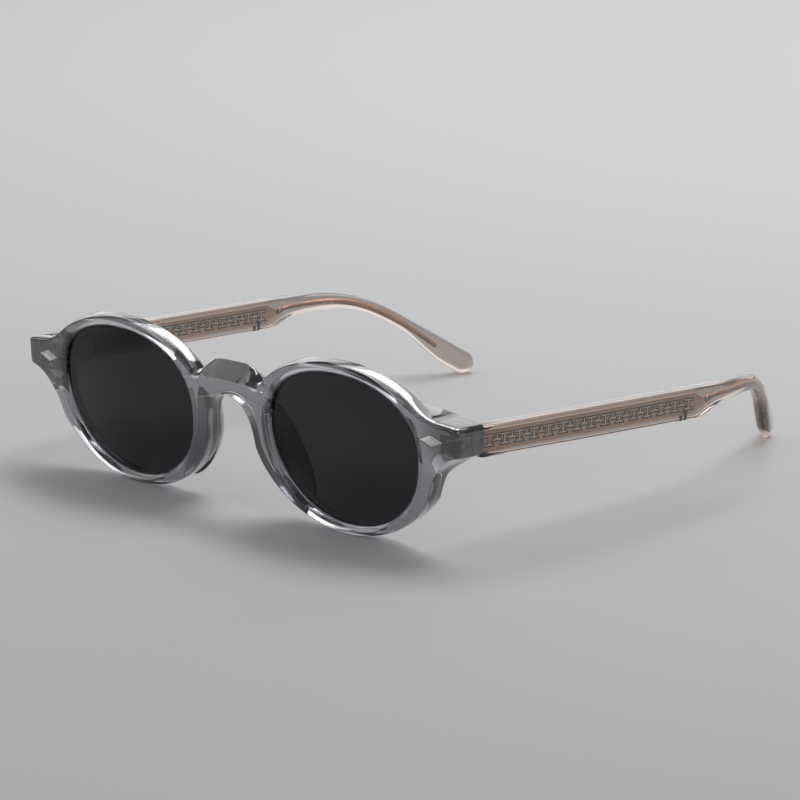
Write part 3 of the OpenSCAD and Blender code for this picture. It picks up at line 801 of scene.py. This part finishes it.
PATH_START = Vector((FRONT_E - TEMPLE_T / 2, SEAM_GAP, 0))
BEND_STEPS = math.ceil(BEND_TO / PATH_STEP)
PATH_NODES = [PATH_START]
for station in range(BEND_STEPS):
    PATH_NODES.append(PATH_NODES[-1] + PATH_STEP * path_way((station + 0.5) * PATH_STEP))
BEND_LEN = BEND_STEPS * PATH_STEP
HOOK_WAY = path_way(BEND_LEN)
HOOK_DOWN = HOOK_WAY[1] * sin(FALL) - HOOK_WAY[2] * cos(FALL)
TIP_R = PADDLE_H / 2
TIP_LIFT = (TEMPLE_H - PADDLE_H) / 2 * math.sqrt(1 - HOOK_DOWN ** 2)
TAIL_LEN = (seam_to_part(PATH_NODES[-1])[2] / MM + TIP_LIFT - TIP_R * (1 - HOOK_DOWN)) / HOOK_DOWN
TEMPLE_LEN = BEND_LEN + TAIL_LEN


def path_point(s):
    """The middle of the straight's height at s, carried on through the hook."""
    if s > BEND_LEN:
        return PATH_NODES[-1] + (s - BEND_LEN) * HOOK_WAY
    i = min(BEND_STEPS - 1, int(s // PATH_STEP))
    return PATH_NODES[i].lerp(PATH_NODES[i + 1], s / PATH_STEP - i)


def smooth_point(s):
    """The path without the corners of its steps."""
    if s <= 1:
        return path_point(s)
    return (path_point(s - 1) + 2 * path_point(s) + path_point(s + 1)) / 4


def body_h(s):
    """Height of the section."""
    return (
        TEMPLE_H - SEAM_STEP * (1 - smooth(s, 0, SEAM_RUN))
        - (TEMPLE_H - STEP_H) * smooth(s, STEP_FROM, STEP_FROM + STEP_RUN)
        - (STEP_H - NECK_H) * smooth(s, NECK_FROM, NECK_TO)
        + (PADDLE_H - NECK_H) * smooth(s, TEMPLE_LEN - PADDLE_RUN, TEMPLE_LEN - PADDLE_FULL)
    )


def body_t(s):
    """Thickness of the section."""
    return TEMPLE_T - (TEMPLE_T - NECK_T) * smooth(s, STEP_FROM, STEP_FROM + THIN_RUN)


def body_r(s):
    """Radius of the section's edges."""
    return EDGE_R + (NECK_R - EDGE_R) * smooth(s, ROUND_FROM, ROUND_TO)


def tip_share(s):
    """Share of the height that the rounded tip leaves."""
    t = max(0.0, (s - (TEMPLE_LEN - TIP_R)) / TIP_R)
    return math.sqrt(max(0.0001, 1 - t * t))


def side_way(s):
    return Vector((cos(path_yaw(s)), sin(path_yaw(s)), 0))


def up_way(s):
    return side_way(s).cross(path_way(s))


def temple_ring(s, shrink=0.0, per=6):
    """The section at s, with round edges."""
    share = tip_share(s)
    shrink += INSIDE / 2
    h = body_h(s) * share - 2 * shrink
    t = body_t(s) * (TIP_EDGE + (1 - TIP_EDGE) * share ** TIP_POWER) - 2 * shrink
    r = max(LEAST_R, min(body_r(s), MOST_R * h, MOST_R * t))
    mid = smooth_point(s) + up_way(s) * (TEMPLE_H - body_h(s)) / 2
    ring = []
    for q in range(4):
        cx, cz = (t / 2 - r) * (1 if q in (0, 3) else -1), (h / 2 - r) * (1 if q < 2 else -1)
        for k in range(per):
            a = 90 * q + 90 * k / (per - 1)
            ring.append(seam_to_part(
                mid + side_way(s) * (cx + r * cos(a)) + up_way(s) * (cz + r * sin(a))
            ))
    return ring


HOOK_FROM, TIP_TURN = 68, 88


def build_temple(side, material, hook_count=72):
    """A clear temple with its hook and paddle, the seam's edges broken."""
    bm = bmesh.new()
    rings = [temple_ring(0.0, 0.15), temple_ring(0.05, 0.05), temple_ring(0.15)]
    rings += [temple_ring(s) for s in range(8, HOOK_FROM, 8)]
    hook_len = TEMPLE_LEN - TIP_R - HOOK_FROM
    rings += [temple_ring(HOOK_FROM + hook_len * t) for t in steps(hook_count)]
    for turn in range(8, TIP_TURN + 8, 8):
        rings.append(temple_ring(TEMPLE_LEN - TIP_R * (1 - sin(turn)) - INSIDE * turn / TIP_TURN))
    loft(bm, rings)
    return finish_piece(
        bm, f"clear_temple_{side}", BODY[side], material, [f"temple_{side}"], 35
    )


def along_core(x, y, z):
    """A point of the core plate's own frame in the part's frame."""
    return seam_to_part(PATH_START + Vector((
        x * cos(SPLAY) + y * sin(SPLAY), -x * sin(SPLAY) + y * cos(SPLAY), z
    )))


def lay_along_core(bm):
    """Moves a mesh from the plate's own frame into the part's frame."""
    for v in bm.verts:
        v.co = along_core(*v.co)


# The stamped pattern: its links and braces take turns along the plate
PATTERN_PITCH, PATTERN_FROM, PATTERN_LIFT, PATTERN_ROOT = 4.9, 3.05, 0.1, 0.03
OUTLINE_W, OUTLINE_DEEP, TOP_DEEP, TOP_EDGE = 0.24, 0.14, 0.02, 0.05
LINK_LIFT, BRACE_LIFT = 0.02, 0.012
LINK = [
    (-1.85, -1.62), (1.85, -1.62), (1.3, -0.72), (0.52, -0.66), (0.52, 0.5), (1.8, 0.5),
    (1.8, 1.36), (-1.8, 1.36), (-1.8, 0.5), (-0.52, 0.5), (-0.52, -0.66), (-1.3, -0.72),
]
BRACE = [
    (-1.75, -0.6), (1.75, -0.6), (1.45, 0.28), (0.46, 0.44), (0.46, 1.46), (-0.46, 1.46),
    (-0.46, 0.44), (-1.45, 0.28),
]
CORE_START, CORE_POINT, CORE_TIP, CORE_BORDER = 1.2, 4.5, 0.4, 0.16
CORE_GROUND = CORE_T / 2 - OUTLINE_DEEP


def build_plate(side, material):
    """The pointed plate, its faces sunk inside a raised border."""
    bm = bmesh.new()
    half = CORE_H / 2
    edge = [
        (CORE_START, half), (CORE_LEN - CORE_POINT, half), (CORE_LEN - CORE_TIP, WIRE_D / 2),
        (CORE_LEN, WIRE_D / 2),
    ]
    profile = edge + [(y, -z) for y, z in reversed(edge)]
    plate(bm, [(-CORE_T / 2, y, z) for y, z in profile], (CORE_T, 0, 0))
    bmesh.ops.recalc_face_normals(bm, faces=bm.faces[:])
    faces = [f for f in bm.faces if abs(f.normal.x) > 0.9]
    for depth in (0, -OUTLINE_DEEP):
        bmesh.ops.inset_region(
            bm, faces=faces, thickness=CORE_BORDER, depth=depth, use_even_offset=True
        )
    lay_along_core(bm)
    return finish_piece(
        bm, f"rose_plate_{side}", BODY[side], material, [f"core_plate_{side}"], 25
    )


def stamp(bm, shape, lift, at, face):
    """One raised shape on a face of the plate, inside its outline."""
    base = [(face * (CORE_GROUND - PATTERN_ROOT), at + y, z + PATTERN_LIFT) for y, z in shape]
    made = plate(bm, base, (face * (PATTERN_ROOT + lift), 0, 0))
    bmesh.ops.recalc_face_normals(bm, faces=list({f for v in made for f in v.link_faces}))
    top = [f for f in {f for v in made for f in v.link_faces} if f.normal.x * face > 0.9]
    rise = OUTLINE_DEEP - TOP_DEEP - lift
    bmesh.ops.inset_region(bm, faces=top, thickness=OUTLINE_W, use_even_offset=True)
    bmesh.ops.inset_region(bm, faces=top, thickness=TOP_EDGE, depth=rise, use_even_offset=True)
    for f in {f for t in top for v in t.verts for f in v.link_faces}:
        f.material_index = 1


def build_links(side, material, outline):
    """The links stamped on both faces of the plate, each in an outline groove coloured near-black
    as painted shade, its top a lighter copy of the rose metal as painted highlight.
    """
    bm = bmesh.new()
    count = 2 * int((CORE_LEN - CORE_POINT - PATTERN_FROM) / PATTERN_PITCH) + 1
    for face in (1, -1):
        for i in range(count):
            shape, lift = (BRACE, BRACE_LIFT) if i % 2 else (LINK, LINK_LIFT)
            stamp(bm, shape, lift, PATTERN_FROM + PATTERN_PITCH * i / 2, face)
    # The raised tops take the first material, a painted highlight, and the outlines the second, a
    # painted shade
    for f in bm.faces:
        f.material_index = 1 - f.material_index
    lay_along_core(bm)
    links = finish_piece(bm, f"rose_links_{side}", BODY[side], material, (), 20)
    links.data.materials.append(outline)
    return links


# Size and place of the slits, which the plates of painted shade fill
SLIT_W, SLIT_WALL, SLIT_SKIN, SLIT_SLANT = 0.35, 0.35, 0.06, 0.4
SLIT_AT, SLIT_TOP = STRAIGHT - 1.5, -1.1


def build_slit_shades(side, material):
    """Near-black plates of painted shade where the slits stand on both sides of the plate, near the
    end of the straight; the clear temple is not cut there.
    """
    bm = bmesh.new()
    low, top = SLIT_SKIN - TEMPLE_H / 2, SLIT_TOP
    inner, outer = CORE_T / 2 + SLIT_WALL, TEMPLE_T / 2 - SLIT_SKIN
    corners = ((inner, low), (outer, low + SLIT_SLANT), (outer, top), (inner, top))
    for face in (1, -1):
        plate(bm, [(face * x, SLIT_AT, z) for x, z in corners], (0, SLIT_W, 0))
    lay_along_core(bm)
    return finish_piece(bm, f"temple_slit_shades_{side}", BODY[side], material)


WIRE_FROM, WIRE_TO, WIRE_END = CORE_LEN - 0.5, TEMPLE_LEN - 12, 0.5
BEAD_RISE, BEAD_AT, BEAD_HALF, BEAD_RUN = 0.28, WIRE_FROM + 1.1, 0.9, 3


def build_wire(side, material, bead_count=12, hook_count=60):
    """The hook's wire, swelling into a bead where it meets the plate's point."""
    bm = bmesh.new()
    stations = [WIRE_FROM + BEAD_RUN * i / bead_count for i in range(bead_count)]
    run = WIRE_TO - WIRE_FROM - BEAD_RUN
    stations += [WIRE_FROM + BEAD_RUN + run * t for t in steps(hook_count)]
    rings = []
    for s in stations:
        bead = BEAD_RISE * max(0.0, 1 - ((s - BEAD_AT) / BEAD_HALF) ** 2) ** 0.5
        r = (WIRE_D / 2 + bead) * (WIRE_END if s == WIRE_FROM else 1)
        mid = smooth_point(s) + up_way(s) * (TEMPLE_H - body_h(s)) / 2
        rings.append([
            seam_to_part(mid + up_way(s) * r * sin(22.5 * k) + side_way(s) * r * cos(22.5 * k))
            for k in range(16)
        ])
    loft(bm, rings)
    return finish_piece(
        bm, f"copper_wire_{side}", BODY[side], material, [f"core_wire_{side}"], 40
    )


# What a user changes

def colour(name, description, default):
    return bpy.props.FloatVectorProperty(
        name=name, description=description, default=default, subtype="COLOR", min=0, max=1, size=3
    )


def thickness_density(description, default):
    return bpy.props.FloatProperty(
        name="Depth density", description=description, default=default, min=0, soft_max=2000
    )


class FrontLook(bpy.types.PropertyGroup):
    """Looks of the front."""

    tint: colour(
        "Depth tint", "Colour that the front's acetate takes on through its thickness",
        (0.50, 0.505, 0.52),
    )
    density: thickness_density("How fast the front's acetate darkens, per metre", 420)
    lens: colour("Lens tint", "Light that a lens lets through", (0.03, 0.03, 0.034))


class TempleLook(bpy.types.PropertyGroup):
    """Looks of the temples."""

    tint: colour(
        "Depth tint", "Colour that the temples' acetate takes on through its thickness",
        (0.50, 0.40, 0.35),
    )
    density: thickness_density("How fast the temples' acetate darkens, per metre", 300)
    core: colour("Core metal", "Rose gold of the patterned plate", (0.86, 0.64, 0.48))


class StageLook(bpy.types.PropertyGroup):
    """Looks of the stage."""

    floor: colour("Floor", "Colour of the pale floor", (0.56, 0.56, 0.565))
    size: bpy.props.FloatProperty(
        name="Floor size", description="Side of the floor", default=4.4, min=1, unit="LENGTH"
    )


def look(group):
    """The values that a user sees for one group of looks."""
    return getattr(bpy.context.scene, group)


# The stage

# The photograph's camera, in degrees, millimetres and pixels
CAMERA_TURN, CAMERA_RISE, CAMERA_ROLL, CAMERA_DISTANCE = 42.256, 14.017, -0.101, 1049.843
CAMERA_TARGET = Vector((14.2, 40 - MID_Y, 21.429 - FRONT_LOW))
FOCAL_PIXELS, IMAGE_PIXELS, SENSOR = 4412.186, 800, 36
CAMERA_CLIP = (0.05, 30)

# Soft lamps: name, place and aim in metres, width, height, power, and turn in degrees
LAMPS = (
    ("top_softbox", (-0.2, 0.62, 1.0), (-0.2, 0.62, 0.0), 1.15, 0.95, 5.8, 0),
    ("top_strip", (-0.1, 0.45, 0.97), (-0.1, 0.45, 0.0), 0.95, 0.3, 4.0, -10),
    ("left_softbox", (-1.2, -0.6, 1.05), (0.0, 0.0, 0.02), 1.5, 1.6, 5.6, 0),
    ("back_softbox", (-1.0, 1.5, 0.62), (0.0, 0.0, 0.02), 2.6, 1.1, 8.0, 0),
    ("side_softbox", (1.15, -0.1, 0.5), (0.0, 0.0, 0.02), 0.6, 0.5, 1.5, 0),
)
ROOM_COLOUR, ROOM_STRENGTH, FLOOR_ROUGH = (0.55, 0.56, 0.58), 0.3, 0.9


def add_camera(scene):
    """The camera as it stood for the photograph."""
    data = bpy.data.cameras.new("camera")
    data.sensor_width = SENSOR
    data.lens = FOCAL_PIXELS / IMAGE_PIXELS * SENSOR
    data.clip_start, data.clip_end = CAMERA_CLIP
    camera = bpy.data.objects.new("camera", data)
    scene.collection.objects.link(camera)
    turn, rise, roll = CAMERA_TURN, CAMERA_RISE, CAMERA_ROLL
    back = Vector((sin(turn) * cos(rise), -cos(turn) * cos(rise), sin(rise)))
    right = (-back).cross(Vector((0, 0, 1))).normalized()
    up = right.cross(-back)
    right, up = right * cos(roll) + up * sin(roll), up * cos(roll) - right * sin(roll)
    place = Matrix((right, up, back)).transposed().to_4x4()
    place.translation = (CAMERA_TARGET + back * CAMERA_DISTANCE) * MM
    camera.matrix_world = place
    scene.camera = camera


def add_floor(scene, side, tone):
    """A plain floor under the piece."""
    bm = bmesh.new()
    bmesh.ops.create_grid(bm, x_segments=1, y_segments=1, size=side / 2)
    mesh = bpy.data.meshes.new("floor")
    bm.to_mesh(mesh)
    bm.free()
    floor = bpy.data.objects.new("floor", mesh)
    scene.collection.objects.link(floor)
    material, tree, shader, out = new_material("pale_floor")
    shader.inputs["Base Color"].default_value = (*tone, 1)
    shader.inputs["Roughness"].default_value = FLOOR_ROUGH
    mesh.materials.append(material)


def add_room(scene, backdrop):
    """A dim room that is seen, and seen through the acetate, as a pale backdrop."""
    world = bpy.data.worlds.new("studio")
    world.use_nodes = True
    nodes, links = world.node_tree.nodes, world.node_tree.links
    dim, pale = nodes["Background"], nodes.new("ShaderNodeBackground")
    dim.inputs["Color"].default_value = (*ROOM_COLOUR, 1)
    dim.inputs["Strength"].default_value = ROOM_STRENGTH
    pale.inputs["Color"].default_value = (*backdrop, 1)
    path, mix = nodes.new("ShaderNodeLightPath"), nodes.new("ShaderNodeMixShader")
    seen = nodes.new("ShaderNodeMath")
    seen.operation = "MAXIMUM"
    links.new(path.outputs["Is Camera Ray"], seen.inputs[0])
    links.new(path.outputs["Is Transmission Ray"], seen.inputs[1])
    links.new(seen.outputs["Value"], mix.inputs["Fac"])
    links.new(dim.outputs["Background"], mix.inputs[1])
    links.new(pale.outputs["Background"], mix.inputs[2])
    links.new(mix.outputs["Shader"], nodes["World Output"].inputs["Surface"])
    scene.world = world


def add_lamp(scene, name, place, aim, wide, high, power, turn):
    """A soft lamp that faces its aim, turned about that line."""
    data = bpy.data.lights.new(name, "AREA")
    data.shape = "RECTANGLE"
    data.size, data.size_y, data.energy = wide, high, power
    lamp = bpy.data.objects.new(name, data)
    scene.collection.objects.link(lamp)
    lamp.location = place
    face = (Vector(aim) - Vector(place)).to_track_quat("-Z", "Y")
    lamp.rotation_euler = (face @ Quaternion((0, 0, 1), math.radians(turn))).to_euler()


class SUNGLASSES_OT_stage(bpy.types.Operator):
    """Makes the camera, the soft studio lights and the pale floor"""

    bl_idname = "sunglasses.stage"
    bl_label = "Stage"

    def execute(self, context):
        scene, stage = context.scene, look("stage_look")
        scene.view_settings.view_transform = "Standard"
        add_camera(scene)
        add_floor(scene, stage.size, tuple(stage.floor))
        add_room(scene, tuple(stage.floor))
        for lamp in LAMPS:
            add_lamp(scene, *lamp)
        return {"FINISHED"}


class SUNGLASSES_OT_front(bpy.types.Operator):
    """Makes the clear acetate front with its bridge and endpieces"""

    bl_idname = "sunglasses.front"
    bl_label = "Front"

    def execute(self, context):
        front = look("front_look")
        material = clear_acetate(
            "smoky_acetate", (0.98, 0.98, 1.0), tuple(front.tint), front.density,
            shade=(0.62, 0.62, 0.64), coat=1.0,
        )
        build_front(material)
        for side in SIDES:
            build_pad(side, material)
        return {"FINISHED"}


class SUNGLASSES_OT_lenses(bpy.types.Operator):
    """Makes the two near black lenses"""

    bl_idname = "sunglasses.lenses"
    bl_label = "Lenses"

    def execute(self, context):
        material = lens_tint("dark_lens", tuple(look("front_look").lens), shine=0.12)
        for side in SIDES:
            build_lens(side, material)
        return {"FINISHED"}


class SUNGLASSES_OT_rivets(bpy.types.Operator):
    """Makes the two faceted diamonds"""

    bl_idname = "sunglasses.rivets"
    bl_label = "Diamond rivets"

    def execute(self, context):
        material = metal(
            "polished_silver", (0.93, 0.91, 0.87), (0.99, 0.97, 0.93), 0.16, 900, metallic=0.3
        )
        # Near-black finish of the band round each diamond: painted shade
        seat_shade = metal(
            "rivet_seat_painted_shade", (0.012, 0.012, 0.013), (0.03, 0.03, 0.032), 0.5, 1500, metallic=0.0
        )
        for side in SIDES:
            build_rivet(side, material, seat_shade)
        return {"FINISHED"}


class SUNGLASSES_OT_hinges(bpy.types.Operator):
    """Gives the hinge leaves and screws their plated metal"""

    bl_idname = "sunglasses.hinges"
    bl_label = "Hinges"

    def execute(self, context):
        leaf = metal(
            "plated_leaf", (0.66, 0.60, 0.52), (0.82, 0.76, 0.67), 0.3, 1400, (1, 1, 4)
        )
        screw = metal(
            "turned_screw", (0.60, 0.58, 0.54), (0.78, 0.76, 0.72), 0.22, 1800, (1, 1, 6)
        )
        plating = {"front_hinge_leaf": leaf, "temple_hinge_leaf": leaf, "hinge_screw": screw}
        for side in SIDES:
            for name, made in plating.items():
                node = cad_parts[f"{name}_{side}"]
                node.data.materials.clear()
                node.data.materials.append(made)
        return {"FINISHED"}


class SUNGLASSES_OT_temples(bpy.types.Operator):
    """Makes the tea coloured temples"""

    bl_idname = "sunglasses.temples"
    bl_label = "Temples"

    def execute(self, context):
        temple = look("temple_look")
        material = clear_acetate(
            "tea_acetate", (1.0, 0.98, 0.96), tuple(temple.tint), temple.density,
            shade=(0.60, 0.55, 0.52), coat=0.55,
        )
        for side in SIDES:
            build_temple(side, material)
        return {"FINISHED"}


class SUNGLASSES_OT_cores(bpy.types.Operator):
    """Makes the patterned core plates and the copper wires"""

    bl_idname = "sunglasses.cores"
    bl_label = "Cores"

    def execute(self, context):
        rose = tuple(look("temple_look").core)
        # A lighter copy of the rose metal for the links' raised tops: painted highlight
        light = tuple(0.5 + 0.5 * c for c in rose)
        plain = metal(
            "rose_plate", tuple(0.9 * c for c in rose), rose, 0.34, 700, (1, 0.06, 1),
            depth=0.01 * MM, metallic=0.5,
        )
        # Near-black painted shade for the links' outlines and for the slits
        sunk = metal(
            "outline_painted_shade", (0.008, 0.006, 0.005), (0.02, 0.014, 0.01), 0.6, 1500, metallic=0.0
        )
        raised = metal(
            "rose_links", light, (0.97, 0.88, 0.80), 0.24, 900, depth=0.01 * MM, metallic=0.2
        )
        wire = metal(
            "copper_wire", (0.44, 0.29, 0.22), (0.58, 0.40, 0.31), 0.25, 400, (1, 0.1, 1),
            depth=0.004 * MM,
        )
        for side in SIDES:
            build_plate(side, plain)
            build_links(side, raised, sunk)
            build_slit_shades(side, sunk)
            build_wire(side, wire)
        return {"FINISHED"}


STEPS = (
    SUNGLASSES_OT_stage, SUNGLASSES_OT_front, SUNGLASSES_OT_lenses, SUNGLASSES_OT_rivets,
    SUNGLASSES_OT_hinges, SUNGLASSES_OT_temples, SUNGLASSES_OT_cores,
)


class SUNGLASSES_PT_panel(bpy.types.Panel):
    """Lists the looks and the steps that make the sunglasses"""

    bl_idname = "SUNGLASSES_PT_panel"
    bl_label = "Sunglasses"
    bl_space_type = "VIEW_3D"
    bl_region_type = "UI"
    bl_category = "Sunglasses"

    def draw(self, context):
        column = self.layout.column()
        for name in LOOKS:
            group = getattr(context.scene, name)
            for key in group.__annotations__:
                column.prop(group, key)
        for step in STEPS:
            column.operator(step.bl_idname)


LOOKS = {"front_look": FrontLook, "temple_look": TempleLook, "stage_look": StageLook}
CLASSES = (*LOOKS.values(), *STEPS, SUNGLASSES_PT_panel)


def register():
    """Registers the classes and hangs the looks on the scene."""
    for made in CLASSES:
        bpy.utils.register_class(made)
    for name, group in LOOKS.items():
        setattr(bpy.types.Scene, name, bpy.props.PointerProperty(type=group))


def unregister():
    """Takes the looks and the classes away again."""
    for name in LOOKS:
        delattr(bpy.types.Scene, name)
    for made in reversed(CLASSES):
        bpy.utils.unregister_class(made)


def main():
    """Makes every piece in order."""
    register()
    for step in STEPS:
        area, name = step.bl_idname.split(".")
        getattr(getattr(bpy.ops, area), name)()


if __name__ == "__main__":
    main()
